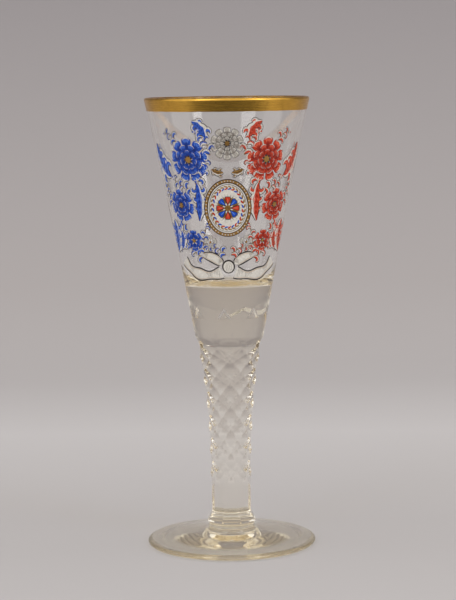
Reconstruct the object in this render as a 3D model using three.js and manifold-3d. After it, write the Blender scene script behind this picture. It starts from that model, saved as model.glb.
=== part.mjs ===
// A tall presentation goblet: a funnel bowl with a gilt rim and fired enamels, a solid stem cut
// with diamond facets, a round button of glass and a disc foot.
// Millimetres, +Z up. The origin is the middle of the ring that the foot rests on.
// Azimuths are counted from the painted front (-Y) towards +X.

import * as THREE from 'three';
import { mergeVertices } from 'three/addons/utils/BufferGeometryUtils.js';
import Module from 'manifold-3d';

const wasm = await Module();
wasm.setup();

// Foot
const FOOT_RADIUS = 45.3;
const FOOT_EDGE = 2.8; // thickness of the rounded edge
const CROWN_RISE = 3.6; // from the edge's top to the foot of the fillet
const CROWN_HOLLOW = 0.42; // how full the crown's curve is: 0.5 is nearly a cone
const FILLET_RISE = 2.8; // from the crown up to the button
const FILLET_REACH = 4.2;
const NECK_RADIUS = 12.6; // flat top of the foot, under the button
const LAND_WIDTH = 5.5; // ground ring that the foot rests on
const UNDER_RISE = 1.6; // hollow under the foot, inside that ring

// Button between foot and stem
const MERESE_RADIUS = 12.3;
const MERESE_HEIGHT = 3.1;
const MERESE_ROUNDING = 1.1;

// Stem
const FACETS = 8; // columns of diamonds, and sides of the plain length
const FLARE_ACROSS = 25.6; // across the flats where the stem meets the button
const FLARE_HEIGHT = 6.3;
const FLARE_CURVE = 1.6; // power of the flare's outline: 1 is straight
const PLAIN_ACROSS = 20.5; // across the flats of the plain length
const PLAIN_LENGTH = 13.0;
const HALF_DIAMOND = 6.3; // height of half a diamond
const HALF_DIAMONDS = 12; // half diamonds from the plain length up to the neck
const NECK_LENGTH = 5.8; // smooth length over the top diamonds
const CUT_ALLOWANCE = 0.25; // how far the ridges lie under the uncut surface
const SHOULDER = 0.5; // height of the step over the top diamonds
const UPRIGHT_PULL = 30.0; // how far up the taper keeps the plain length's direction
const JOINT_PULL = 30.0; // how far down it keeps the joint's slope

// Joint of bowl and stem
const JOINT_RADIUS = 18.35;
const JOINT_SLOPE = 0.183; // growth of the radius per millimetre of height

// Bowl
const BASE_THICKNESS = 27.5; // solid glass under the drinking space
const CAVITY_DEPTH = 99.0;
const LIP_RADIUS = 43.85;
const LIP_SLOPE = 0.226;
const WALL = 2.3;
const FLOOR_CORNER = 9.0; // rounding between wall and floor, inside

// Ring of notches round the solid base
const NOTCHES = 8;
const NOTCH_WIDTH = 7.4;
const NOTCH_HEIGHT = 6.2;
const NOTCH_DEPTH = 1.5;
const NOTCH_BASE = 10.6; // ledge of the notches, above the joint
const NOTCH_TURN = -7.5; // azimuth of the front notch, in degrees

// Fired layers
const SEAT_GAP = 0.3; // clearance between the glass and a layer
const PATCH_GAP = 0.5; // clearance between the medallion's layers
const LAYER = 0.25; // thickness of enamel and gilding
const GILDING_HEIGHT = 6.8; // from the lip down the outside
const GILDING_FOLD = 17; // degrees that it goes past the top of the lip

// The painted design. Along is the arc from the middle of the front, down the distance under the
// lip. What stands on the left in blue stands mirrored on the right in red. A stroke starts at its
// place, in the direction of its heading, and turns by its bend.
const MEDALLION = { down: 56.5, halfWidth: 10.4, halfHeight: 13.0, frame: 1.6 };
const ROSETTE = { radius: 6.4, petals: 8, notch: 0.25 };
const TOP_FLOWER = { down: 23, radius: 9.0, petals: 10, notch: 0.25 };
const FLOWERS = {
  upper: { along: 21.2, down: 31.5, radius: 12.0, petals: 9, notch: 0.28 },
  middle: { along: 27.2, down: 55.5, radius: 9.2, petals: 7, notch: 0.28 },
  lower: { along: 19.1, down: 74, radius: 6.0, petals: 6, notch: 0.28 },
};
const SMALL_FLOWER = { along: 9.5, down: 74.5, radius: 3.8, petals: 5, notch: 0.3 };
const LEAVES = {
  top: { along: 11.4, down: 20, heading: 75, length: 11, bend: -50, width: 4.2 },
  upper: { along: 34.2, down: 40.5, heading: 28, length: 21, bend: 64, width: 7.0 },
  middle: { along: 35.6, down: 63.5, heading: -100, length: 18, bend: 40, width: 6.4 },
  inner: { along: 16.5, down: 43.5, heading: -96, length: 20, bend: 16, width: 4.2 },
  lower: { along: 28.1, down: 69.5, heading: -98, length: 10, bend: 50, width: 3.8 },
};
const SCROLL = { along: 2.2, down: 38, heading: -10, length: 6.5, bend: 55, width: 2.2 };
const KNOT = { down: 87.5, halfWidth: 3.0, halfHeight: 3.3 };
const RIBBON_GAP = 0.6; // clearance between the knot and the ribbon beside it
const LOOP_RAISE = 1.5; // start of a loop over the knot's middle
const TAIL_DROP = 3.0; // start of a tail under it
const RIBBON_LOOP = {
  along: KNOT.halfWidth + RIBBON_GAP,
  down: KNOT.down - LOOP_RAISE,
  heading: 48,
  length: 11,
  bend: -50,
  width: 5.1,
};
const RIBBON_TAIL = {
  along: KNOT.halfWidth + RIBBON_GAP,
  down: KNOT.down + TAIL_DROP,
  heading: -22,
  length: 26,
  bend: 72,
  width: 6.4,
};

// Fineness
const ROUND_SEGMENTS = 64;
const CURVE_STEPS = 4;
const WALL_STEPS = 4;
const LIP_STEPS = 4;
const FLARE_STEPS = 3;
const LATTICE_STEPS = 3; // mesh steps in half a diamond
const PATCH_RINGS = 2;
const SPOKES_PER_PETAL = 4;
const OVAL_SPOKES = ROSETTE.petals * 5;
const STROKE_STEPS = 10;

const degrees = Math.PI / 180;
const footHeight = FOOT_EDGE + CROWN_RISE + FILLET_RISE;
const bowlHeight = BASE_THICKNESS + CAVITY_DEPTH;
const latticeHeight = HALF_DIAMOND * HALF_DIAMONDS;
const latticeBase = FLARE_HEIGHT + PLAIN_LENGTH;
const stemLength = latticeBase + latticeHeight + NECK_LENGTH;
const facetHalfAngle = Math.PI / FACETS;

// Materials
const GLASS = { color: 0xe9e6dc, roughness: 0.03, metalness: 0, transparent: true, opacity: 0.35 };
const GOLD = { color: 0xb58d3f, roughness: 0.3, metalness: 1 };
const BLUE = { color: 0x2c4f9e, roughness: 0.25, metalness: 0 };
const RED = { color: 0xb23a26, roughness: 0.25, metalness: 0 };
const WHITE = { color: 0xd8d2c8, roughness: 0.25, metalness: 0 };

function piece(name, geometry, look) {
  const mesh = new THREE.Mesh(geometry, new THREE.MeshStandardMaterial(look));
  mesh.name = name;
  return mesh;
}

// Geometry helpers
function closedGeometry(positions, corners) {
  const geometry = new THREE.BufferGeometry();
  geometry.setAttribute('position', new THREE.Float32BufferAttribute(positions, 3));
  geometry.setIndex(corners);
  return geometry;
}

// Joins equal points, as at the seam of a revolved surface, and drops triangles that fall to a line.
function weld(geometry) {
  geometry.deleteAttribute('normal');
  geometry.deleteAttribute('uv');
  const merged = mergeVertices(geometry, 1e-4);
  const corners = merged.index.array;
  const kept = [];
  for (let i = 0; i < corners.length; i += 3) {
    const [a, b, c] = [corners[i], corners[i + 1], corners[i + 2]];
    if (a !== b && b !== c && c !== a) kept.push(a, b, c);
  }
  merged.setIndex(kept);
  return merged;
}

// Turns a profile of (radius, height) points round the Z axis.
function revolve(points) {
  const geometry = new THREE.LatheGeometry(points, ROUND_SEGMENTS);
  geometry.rotateX(Math.PI / 2);
  return weld(geometry);
}

function solidOf(geometry) {
  return new wasm.Manifold(new wasm.Mesh({
    numProp: 3,
    vertProperties: new Float32Array(geometry.attributes.position.array),
    triVerts: new Uint32Array(geometry.index.array),
  }));
}

function geometryOf(solid) {
  const mesh = solid.getMesh();
  return weld(closedGeometry(Array.from(mesh.vertProperties), Array.from(mesh.triVerts)));
}

// Where an outline of (radius, height) points, rising all the way, reaches a height.
function shareAtHeight(outline, height) {
  const halvings = 40;
  let [low, high] = [0, 1];
  for (let i = 0; i < halvings; i += 1) {
    const middle = (low + high) / 2;
    if (outline.getPoint(middle).y < height) low = middle;
    else high = middle;
  }
  return (low + high) / 2;
}

function radiusAt(outline, height) {
  return outline.getPoint(shareAtHeight(outline, height)).x;
}

// Foot
function makeFoot() {
  const landOuter = FOOT_RADIUS - FOOT_EDGE;
  const landInner = landOuter - LAND_WIDTH;
  const crownTop = FOOT_EDGE + CROWN_RISE;
  const crownRadius = NECK_RADIUS + FILLET_REACH;
  const profile = new THREE.Path();
  profile.moveTo(0, UNDER_RISE);
  profile.quadraticCurveTo(landInner - UNDER_RISE, UNDER_RISE, landInner, 0);
  profile.lineTo(landOuter, 0);
  profile.absellipse(landOuter, FOOT_EDGE / 2, FOOT_EDGE, FOOT_EDGE / 2, -Math.PI / 2, Math.PI / 2, false);
  const crownMiddle = (landOuter + crownRadius) / 2;
  profile.quadraticCurveTo(crownMiddle, FOOT_EDGE + CROWN_HOLLOW * CROWN_RISE, crownRadius, crownTop);
  profile.quadraticCurveTo(NECK_RADIUS, crownTop, NECK_RADIUS, footHeight);
  profile.lineTo(0, footHeight);
  return revolve(profile.getPoints(CURVE_STEPS));
}

// Button
function makeMerese() {
  const inner = MERESE_RADIUS - MERESE_ROUNDING;
  const middle = MERESE_HEIGHT / 2;
  const profile = new THREE.Path();
  profile.moveTo(0, 0);
  profile.lineTo(inner, 0);
  profile.absellipse(inner, middle, MERESE_ROUNDING, middle, -Math.PI / 2, Math.PI / 2, false);
  profile.lineTo(0, MERESE_HEIGHT);
  return revolve(profile.getPoints(CURVE_STEPS));
}

// Stem
// Its uncut taper, from the plain length up to the joint.
function stemOutline() {
  const plainCorner = PLAIN_ACROSS / 2 / Math.cos(facetHalfAngle) + CUT_ALLOWANCE;
  return new THREE.CubicBezierCurve(
    new THREE.Vector2(plainCorner, latticeBase),
    new THREE.Vector2(plainCorner, latticeBase + UPRIGHT_PULL),
    new THREE.Vector2(JOINT_RADIUS - JOINT_SLOPE * JOINT_PULL, stemLength - JOINT_PULL),
    new THREE.Vector2(JOINT_RADIUS, stemLength),
  );
}

// How far out the cut surface lies, as a share of the ridges' radius. Each diamond is flat across
// and hollow along the stem. One set of diamonds stands over the flats of the plain length, and one
// between them, half a diamond higher.
function cutShare(azimuth, halfDiamondsUp) {
  const flat = Math.cos(facetHalfAngle);
  const turnFromMiddle = (angle) => (
    Math.abs(angle - 2 * facetHalfAngle * Math.round(angle / (2 * facetHalfAngle)))
  );
  const fromMiddle = Math.abs(halfDiamondsUp - 2 * Math.round(halfDiamondsUp / 2));
  const hollow = (share) => flat + (1 - flat) * share * share;
  const overFlats = hollow(fromMiddle) / Math.cos(turnFromMiddle(azimuth));
  const between = hollow(1 - fromMiddle) / Math.cos(turnFromMiddle(azimuth - facetHalfAngle));
  return Math.min(overFlats, between);
}

// The rings of the stem's skin, from the bottom up. In the lattice each ring is turned half a step
// against the one below, so that the mesh has an edge along every ridge between two diamonds.
function stemRings(step) {
  const taper = stemOutline();
  const cornerTurn = -facetHalfAngle;
  const rings = [];
  for (let i = 0; i <= FLARE_STEPS; i += 1) {
    const share = i / FLARE_STEPS;
    const across = PLAIN_ACROSS + (FLARE_ACROSS - PLAIN_ACROSS) * (1 - share) ** FLARE_CURVE;
    const corner = across / 2 / Math.cos(facetHalfAngle);
    const radius = (azimuth) => corner * cutShare(azimuth, 0);
    rings.push({ height: FLARE_HEIGHT * share, turn: cornerTurn, radius });
  }
  const rows = HALF_DIAMONDS * LATTICE_STEPS;
  for (let row = 0; row <= rows; row += 1) {
    const height = latticeBase + (latticeHeight * row) / rows;
    const ridge = radiusAt(taper, height) - CUT_ALLOWANCE;
    const radius = (azimuth) => ridge * cutShare(azimuth, row / LATTICE_STEPS);
    rings.push({ height, turn: cornerTurn + (row * step) / 2, radius });
  }
  const shoulder = latticeBase + latticeHeight + SHOULDER;
  for (const height of [shoulder, (shoulder + stemLength) / 2, stemLength]) {
    rings.push({ height, turn: cornerTurn + (rows * step) / 2, radius: () => radiusAt(taper, height) });
  }
  return rings;
}

function makeStem() {
  const around = FACETS * LATTICE_STEPS;
  const step = (2 * Math.PI) / around;
  const rings = stemRings(step);
  const positions = [];
  const corners = [];
  for (const { height, turn, radius } of rings) {
    for (let i = 0; i < around; i += 1) {
      const azimuth = turn + i * step;
      positions.push(radius(azimuth) * Math.sin(azimuth), -radius(azimuth) * Math.cos(azimuth), height);
    }
  }
  const last = rings.length - 1;
  const [bottomMiddle, topMiddle] = [rings.length * around, rings.length * around + 1];
  positions.push(0, 0, 0, 0, 0, stemLength);
  for (let i = 0; i < around; i += 1) {
    const next = (i + 1) % around;
    for (let ring = 0; ring < last; ring += 1) {
      const [low, high] = [ring * around, (ring + 1) * around];
      corners.push(low + i, low + next, high + i, low + next, high + next, high + i);
    }
    corners.push(bottomMiddle, next, i, topMiddle, last * around + i, last * around + next);
  }
  return closedGeometry(positions, corners);
}

// Bowl
// Its outside, from the joint up to the lip: the two end slopes meet at one control point.
function makeBowlOutline() {
  const start = new THREE.Vector2(JOINT_RADIUS, 0);
  const end = new THREE.Vector2(LIP_RADIUS, bowlHeight);
  const meeting = (LIP_RADIUS - JOINT_RADIUS - LIP_SLOPE * bowlHeight) / (JOINT_SLOPE - LIP_SLOPE);
  const control = new THREE.Vector2(JOINT_RADIUS + JOINT_SLOPE * meeting, meeting);
  return new THREE.QuadraticBezierCurve(start, control, end);
}

const bowlOutline = makeBowlOutline();

// The inside of the wall: the outside moved in by the wall's thickness, square to it.
function innerPoint(share) {
  const point = bowlOutline.getPoint(share);
  const along = bowlOutline.getTangent(share);
  return new THREE.Vector2(point.x - WALL * along.y, point.y + WALL * along.x);
}

// Down the inside of the wall, round the corner and along the floor to the axis.
function cavityPoints() {
  const cornerHeight = BASE_THICKNESS + FLOOR_CORNER;
  const share = shareAtHeight(bowlOutline, cornerHeight);
  const along = bowlOutline.getTangent(share);
  const tilt = Math.atan2(along.x, along.y);
  const middle = bowlOutline.getPoint(share).x - (WALL + FLOOR_CORNER) / Math.cos(tilt);
  const points = [];
  for (let i = 1; i < WALL_STEPS; i += 1) points.push(innerPoint(1 - ((1 - share) * i) / WALL_STEPS));
  for (let i = 0; i <= WALL_STEPS; i += 1) {
    const angle = -tilt - ((Math.PI / 2 - tilt) * i) / WALL_STEPS;
    points.push(new THREE.Vector2(
      middle + FLOOR_CORNER * Math.cos(angle),
      cornerHeight + FLOOR_CORNER * Math.sin(angle),
    ));
  }
  points.push(new THREE.Vector2(0, BASE_THICKNESS));
  return points;
}

// Half an ellipse over the top of the wall, from outside to inside.
function lipPoints() {
  const half = WALL / 2;
  const share = shareAtHeight(bowlOutline, bowlHeight - half);
  const middle = bowlOutline.getPoint(share).add(innerPoint(share)).multiplyScalar(0.5);
  const points = [];
  for (let i = 0; i <= LIP_STEPS; i += 1) {
    const angle = (Math.PI * i) / LIP_STEPS;
    points.push(new THREE.Vector2(
      middle.x + half * Math.cos(angle),
      middle.y + (bowlHeight - middle.y) * Math.sin(angle),
    ));
  }
  return points;
}

// A three-sided pit: it starts at nothing on top, deepens downwards and ends on a level ledge.
// The cutter stands proud of the glass, to overshoot times the pit's size.
function notchCutter(azimuth) {
  const topRadius = radiusAt(bowlOutline, NOTCH_BASE + NOTCH_HEIGHT);
  const baseRadius = radiusAt(bowlOutline, NOTCH_BASE);
  const half = NOTCH_WIDTH / 2;
  const side = Math.sqrt(baseRadius ** 2 - half ** 2);
  const root = new THREE.Vector3(0, NOTCH_DEPTH - baseRadius, NOTCH_BASE);
  const rims = [
    new THREE.Vector3(0, -topRadius, NOTCH_BASE + NOTCH_HEIGHT),
    new THREE.Vector3(-half, -side, NOTCH_BASE),
    new THREE.Vector3(half, -side, NOTCH_BASE),
  ];
  const overshoot = 2;
  const corners = [root, ...rims.map((rim) => rim.clone().sub(root).multiplyScalar(overshoot).add(root))];
  const turn = new THREE.Matrix4().makeRotationZ(azimuth);
  const positions = corners.flatMap((corner) => corner.clone().applyMatrix4(turn).toArray());
  return solidOf(closedGeometry(positions, [0, 3, 2, 0, 1, 3, 0, 2, 1, 1, 2, 3]));
}

function makeBowl() {
  const points = [new THREE.Vector2(0, 0)];
  for (let i = 0; i < WALL_STEPS; i += 1) points.push(bowlOutline.getPoint(i / WALL_STEPS));
  points.push(...lipPoints(), ...cavityPoints());
  let solid = solidOf(revolve(points));
  for (let i = 0; i < NOTCHES; i += 1) {
    solid = solid.subtract(notchCutter((NOTCH_TURN + (360 * i) / NOTCHES) * degrees));
  }
  return geometryOf(solid);
}

// A thin ring over the lip and down the outside.
function makeGilding() {
  const low = bowlHeight - GILDING_HEIGHT;
  const top = bowlHeight - WALL / 2;
  const middle = radiusAt(bowlOutline, top) - WALL / 2;
  const arc = (radius) => Array.from({ length: LIP_STEPS }, (_, i) => {
    const angle = ((90 + GILDING_FOLD) * degrees * i) / (LIP_STEPS - 1);
    return new THREE.Vector2(middle + radius * Math.cos(angle), top + radius * Math.sin(angle));
  });
  const seat = WALL / 2 + SEAT_GAP;
  const start = new THREE.Vector2(radiusAt(bowlOutline, low) + SEAT_GAP, low);
  const edge = new THREE.Vector2(start.x + LAYER, low);
  return revolve([start, edge, ...arc(seat + LAYER), ...arc(seat).reverse(), start.clone()]);
}

// Enamel
// A point of the painted surface, given along the arc and up from a motif's middle.
function onBowl(down, along, up, lift) {
  const height = bowlHeight - down + up;
  const radius = radiusAt(bowlOutline, height);
  const azimuth = along / radius;
  const out = radius + SEAT_GAP + lift;
  return [out * Math.sin(azimuth), -out * Math.cos(azimuth), height];
}

// A plate from rows of (along, up) points that follows the bowl. The columns run anticlockwise round
// a closed motif, and from right to left across a stroke. A row of equal points becomes one point.
function plate(down, rows, closed) {
  const columns = rows[0].length;
  const cells = closed ? columns : columns - 1;
  const positions = [];
  for (const lift of [0, LAYER]) {
    for (const row of rows) {
      for (const [along, up] of row) positions.push(...onBowl(down, along, up, lift));
    }
  }
  const index = (layer, row, column) => (layer * rows.length + row) * columns + (column % columns);
  const corners = [];
  const quad = (a, b, c, d) => corners.push(a, b, c, a, c, d);
  const wall = ([r, c], [s, d]) => quad(index(0, r, c), index(0, s, d), index(1, s, d), index(1, r, c));
  const last = rows.length - 1;
  for (let row = 0; row < last; row += 1) {
    for (let column = 0; column < cells; column += 1) {
      const ring = [[row, column], [row, column + 1], [row + 1, column + 1], [row + 1, column]];
      quad(...ring.map(([r, c]) => index(0, r, c)));
      quad(...ring.map(([r, c]) => index(1, r, c)).reverse());
    }
    if (!closed) {
      wall([row, 0], [row + 1, 0]);
      wall([row + 1, cells], [row, cells]);
    }
  }
  for (let column = 0; column < cells; column += 1) {
    wall([last, column], [last, column + 1]);
    wall([0, column + 1], [0, column]);
  }
  return weld(closedGeometry(positions, corners));
}

// A patch between two closed outlines round a motif's middle, each a radius for every direction.
function patch(down, { inner = () => 0, outer, rings = PATCH_RINGS, spokes }) {
  const rows = [];
  for (let ring = 0; ring <= rings; ring += 1) {
    rows.push(Array.from({ length: spokes }, (_, i) => {
      const direction = (2 * Math.PI * i) / spokes;
      const radius = inner(direction) + ((outer(direction) - inner(direction)) * ring) / rings;
      return [radius * Math.cos(direction), radius * Math.sin(direction)];
    }));
  }
  return plate(down, rows, true);
}

// A stroke of the brush along an arc, with a width that changes with the share of its length.
function stroke({ down, heading, length, bend, width }, widthShare) {
  const rows = [];
  let [along, up] = [0, 0];
  for (let i = 0; i <= STROKE_STEPS; i += 1) {
    const share = i / STROKE_STEPS;
    const direction = (heading + bend * share) * degrees;
    const [cos, sin] = [Math.cos(direction), Math.sin(direction)];
    const half = (width / 2) * widthShare(share);
    rows.push([-1, 0, 1].map((side) => [along - side * half * sin, up + side * half * cos]));
    along += (length / STROKE_STEPS) * cos;
    up += (length / STROKE_STEPS) * sin;
  }
  return plate(down, rows, false);
}

// Round petals that touch in notches, the first one upright.
function petalOutline({ radius, petals, notch }) {
  const fullness = 0.8;
  return (direction) => {
    const ripple = Math.abs(Math.cos((petals * (direction - Math.PI / 2)) / 2)) ** fullness;
    return radius * (1 - notch + notch * ripple);
  };
}

function ovalOutline(halfWidth, halfHeight) {
  return (direction) => 1 / Math.hypot(Math.cos(direction) / halfWidth, Math.sin(direction) / halfHeight);
}

// A pointed leaf with three soft lobes on each side.
function leafWidth(share) {
  const [tip, lobes, lobeDepth] = [0.1, 3, 0.16];
  const belly = Math.sin(Math.PI * share) ** 0.8;
  return tip + (1 - tip) * belly * (1 + lobeDepth * Math.sin(2 * Math.PI * lobes * share));
}

// A loop of ribbon, narrow at both ends and fullest past its middle.
function loopWidth(share) {
  const end = 0.3;
  return end + (1 - end) * Math.sqrt(Math.sin(Math.PI * share ** 0.8));
}

// A length of ribbon that twists twice.
function tailWidth(share) {
  const twist = 0.18;
  return 1 - twist + twist * Math.cos(4 * Math.PI * share);
}

// Turns a motif from the middle of the front to its own place.
function placed(name, motif, geometry, look, side = 1) {
  const mesh = piece(name, geometry, look);
  mesh.rotation.z = (side * (motif.along ?? 0)) / radiusAt(bowlOutline, bowlHeight - motif.down);
  return mesh;
}

function flower(name, motif, look, side) {
  const spokes = motif.petals * SPOKES_PER_PETAL;
  const geometry = patch(motif.down, { outer: petalOutline(motif), spokes });
  return placed(name, motif, geometry, look, side);
}

// The left side is the right side's mirror image.
function mirroredStroke(name, motif, widthShare, look, side) {
  const turned = side > 0 ? motif : { ...motif, heading: 180 - motif.heading, bend: -motif.bend };
  return placed(name, motif, stroke(turned, widthShare), look, side);
}

function makeSide(sideName, colourName, look, side) {
  const group = new THREE.Group();
  for (const [place, motif] of Object.entries(FLOWERS)) {
    group.add(flower(`${colourName}_flower_${place}`, motif, look, side));
  }
  for (const [place, motif] of Object.entries(LEAVES)) {
    group.add(mirroredStroke(`${colourName}_leaf_${place}`, motif, leafWidth, look, side));
  }
  group.add(flower(`white_flower_${sideName}`, SMALL_FLOWER, WHITE, side));
  group.add(mirroredStroke(`gold_scroll_${sideName}`, SCROLL, leafWidth, GOLD, side));
  group.add(mirroredStroke(`ribbon_loop_${sideName}`, RIBBON_LOOP, loopWidth, WHITE, side));
  group.add(mirroredStroke(`ribbon_tail_${sideName}`, RIBBON_TAIL, tailWidth, WHITE, side));
  return group;
}

// An oval medallion: a rosette, the ground round it and the frame round that.
function makeMedallion() {
  const group = new THREE.Group();
  const { down, halfWidth, halfHeight, frame } = MEDALLION;
  const star = petalOutline(ROSETTE);
  const grown = (by) => ovalOutline(halfWidth + by, halfHeight + by);
  const rosette = patch(down, { outer: star, spokes: OVAL_SPOKES });
  const ground = patch(down, {
    inner: (direction) => star(direction) + PATCH_GAP,
    outer: grown(0),
    spokes: OVAL_SPOKES,
  });
  const ring = patch(down, {
    inner: grown(PATCH_GAP), outer: grown(PATCH_GAP + frame), rings: 1, spokes: OVAL_SPOKES,
  });
  group.add(piece('medallion_rosette', rosette, RED));
  group.add(piece('medallion_ground', ground, WHITE));
  group.add(piece('medallion_frame', ring, GOLD));
  return group;
}

function makeKnot() {
  const outer = ovalOutline(KNOT.halfWidth, KNOT.halfHeight);
  const knotSpokes = 16;
  return piece('ribbon_knot', patch(KNOT.down, { outer, rings: 1, spokes: knotSpokes }), WHITE);
}

// The whole goblet, from the foot up
function makeGoblet() {
  const goblet = new THREE.Group();
  const foot = piece('foot', makeFoot(), GLASS);
  const merese = piece('merese', makeMerese(), GLASS);
  merese.position.z = footHeight;
  const stem = piece('stem', makeStem(), GLASS);
  stem.position.z = footHeight + MERESE_HEIGHT;
  const upper = new THREE.Group();
  upper.position.z = stem.position.z + stemLength;
  upper.add(piece('bowl', makeBowl(), GLASS));
  upper.add(piece('rim_gilding', makeGilding(), GOLD));
  upper.add(makeMedallion());
  upper.add(flower('white_flower_top', TOP_FLOWER, WHITE));
  upper.add(makeKnot());
  upper.add(makeSide('left', 'blue', BLUE, -1));
  upper.add(makeSide('right', 'red', RED, 1));
  goblet.add(foot, merese, stem, upper);
  return goblet;
}

export default makeGoblet();
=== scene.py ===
"""A tall presentation goblet: clear cut glass, a gilt rim and a painted front of fired enamels.

Laid out as an add-on and run as a script. Each operator builds one finished piece, or one group of
like pieces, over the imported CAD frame. The frame is in metres, +Z up. Azimuths are counted from
the painted front (-Y) towards +X. The painted design is drawn in millimetres on the unrolled bowl.
"""

import math
from itertools import pairwise
from math import cos, pi, sin, tau

import bpy
from bpy.props import FloatProperty, FloatVectorProperty, IntProperty, PointerProperty
from bpy.types import Operator, Panel, PropertyGroup
from mathutils import Matrix, Vector, noise


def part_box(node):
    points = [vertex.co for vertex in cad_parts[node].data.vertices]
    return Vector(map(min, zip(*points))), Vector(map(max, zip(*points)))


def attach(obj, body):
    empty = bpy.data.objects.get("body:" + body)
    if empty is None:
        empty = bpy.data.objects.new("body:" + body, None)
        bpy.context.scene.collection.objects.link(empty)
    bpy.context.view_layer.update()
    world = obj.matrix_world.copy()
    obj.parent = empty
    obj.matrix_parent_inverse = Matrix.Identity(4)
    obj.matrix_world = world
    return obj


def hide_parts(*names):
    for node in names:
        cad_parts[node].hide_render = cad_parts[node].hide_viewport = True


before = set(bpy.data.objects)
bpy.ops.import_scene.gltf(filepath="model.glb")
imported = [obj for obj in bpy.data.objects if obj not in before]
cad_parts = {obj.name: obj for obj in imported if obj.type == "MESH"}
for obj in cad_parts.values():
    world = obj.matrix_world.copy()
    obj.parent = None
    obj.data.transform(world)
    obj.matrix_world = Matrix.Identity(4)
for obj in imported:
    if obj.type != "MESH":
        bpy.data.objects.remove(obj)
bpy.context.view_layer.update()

bl_info = {
    "name": "Enamelled Goblet",
    "version": (1, 0, 0),
    "blender": (4, 5, 0),
    "location": "3D View > Sidebar > Goblet",
    "description": "Builds the glass, the gilding and the fired enamels of a presentation goblet",
    "category": "Add Mesh",
}

MM = 0.001

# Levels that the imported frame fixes
FOOT_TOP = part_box("foot")[1].z
BUTTON_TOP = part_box("merese")[1].z
JOINT_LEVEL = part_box("bowl")[0].z
LIP_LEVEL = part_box("bowl")[1].z

# The foot's tone is full up to the first level and gone at the second.
FOOT_TONE_LEVELS = (0.008, 0.018)

# Reflections and refractions that a light path may go through inside the glass. With the renderer's
# own few, light caught in the foot and in the stem would end as black.
LIGHT_BOUNCES = 24

# Columns of facets round the stem, and the fineness of the glass, counted in quads
COLUMNS = 8
PER_HALF_FACET = 12
AROUND = 2 * COLUMNS * PER_HALF_FACET

# Turn from one facet to the next, and how far out a flat lies, as a share of the corner beside it
FACET_TURN = tau / COLUMNS
FLAT_SHARE = cos(FACET_TURN / 2)

# The painted design, in millimetres. Along is the arc from the middle of the front, down the
# distance under the lip. A stroke starts at its place in the direction of its heading and turns by
# its bend. The left side mirrors the right.
MEDALLION = {"down": 56.5, "half_width": 10.4, "half_height": 13.0, "frame": 1.6}
ROSETTE = {"down": MEDALLION["down"], "radius": 6.4, "petals": 8}
WREATH_LEAVES = 28
TOP_FLOWER = {"down": 23, "radius": 9.0, "petals": 10}
FLOWERS = {
    "upper": {"along": 21.2, "down": 31.5, "radius": 12.0, "petals": 9},
    "middle": {"along": 27.2, "down": 55.5, "radius": 9.2, "petals": 7},
    "lower": {"along": 19.1, "down": 74, "radius": 6.0, "petals": 6},
}
SMALL_FLOWER = {"along": 9.5, "down": 74.5, "radius": 3.8, "petals": 5}
LEAVES = {
    "top": {"along": 11.4, "down": 20, "heading": 75, "length": 11, "bend": -50, "width": 4.2},
    "upper": {"along": 34.2, "down": 40.5, "heading": 28, "length": 21, "bend": 64, "width": 7.0},
    "middle": {"along": 35.6, "down": 63.5, "heading": -100, "length": 18, "bend": 40, "width": 6.4},
    "inner": {"along": 16.5, "down": 43.5, "heading": -96, "length": 20, "bend": 16, "width": 4.2},
    "lower": {"along": 28.1, "down": 69.5, "heading": -98, "length": 10, "bend": 50, "width": 3.8},
}
SCROLL = {"along": 2.2, "down": 38, "heading": -10, "length": 6.5, "bend": 55, "width": 2.2}
KNOT = {"down": 87.5, "half_width": 3.0, "half_height": 3.3}
RIBBON_START = KNOT["half_width"] + 0.6
RIBBON_LOOP = {
    "along": RIBBON_START, "down": KNOT["down"] - 1.5, "heading": 48, "length": 11, "bend": -50, "width": 5.1}
RIBBON_TAIL = {
    "along": RIBBON_START, "down": KNOT["down"] + 3, "heading": -22, "length": 26, "bend": 72, "width": 6.4}
SPRAYS = {"down": 0, "stems": (
    {"along": 13, "down": 80.5, "heading": 84, "length": 15, "bend": 26, "lobe": 4.2},
    {"along": 1.5, "down": 81.5, "heading": 62, "length": 11, "bend": -84, "lobe": 3.8},
    {"along": 17.5, "down": 44, "heading": 138, "length": 14, "bend": -44, "lobe": 5.0},
    {"along": 20, "down": 47, "heading": 6, "length": 14, "bend": 38, "lobe": 5.0},
    {"along": 24, "down": 65.5, "heading": -8, "length": 12, "bend": -50, "lobe": 4.6},
    {"along": 13.5, "down": 83, "heading": 22, "length": 17, "bend": 44, "lobe": 4.2},
    {"along": 9, "down": 29, "heading": 84, "length": 15, "bend": -62, "lobe": 5.2},
    {"along": 29, "down": 22.5, "heading": 62, "length": 10, "bend": -70, "lobe": 4.6},
    {"along": 36, "down": 54, "heading": 42, "length": 11, "bend": 50, "lobe": 4.8},
)}
SIDES = {"left": (-1, "blue"), "right": (1, "red")}

# Fill, deep and light tone of each paint that has them
TONES = {
    "blue": ("blue", "deep_blue", "pale_blue"),
    "red": ("red", "deep_red", "pale_red"),
    "white": ("white", "grey", "grey"),
    "gold": ("gold", "line", "gold"),
}

# Paint layers, in millimetres over the glass. Undersides are sunk into it, the fills the deepest,
# so that a fill shows its own colour from behind as well.
SUNK = -0.04
LINING_FOOT = -0.03
LINE_FOOT = -0.01
FILL = 0.10
SHADE = 0.15
LINE = 0.19
LIGHT = 0.22

# How much lower a dark edge lies than the fill inside it
EDGE_STEP = 0.05

# Past this half width a stroke's underside is bent round the bowl, not flat.
WIDE_STROKE = 1.0


def length(name, description, default):
    """A length that shows in the units of the scene."""
    return FloatProperty(
        name=name, description=description, default=default, min=0, precision=5, unit="LENGTH")


def number(name, description, default, **more):
    return FloatProperty(name=name, description=description, default=default, **more)


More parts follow.
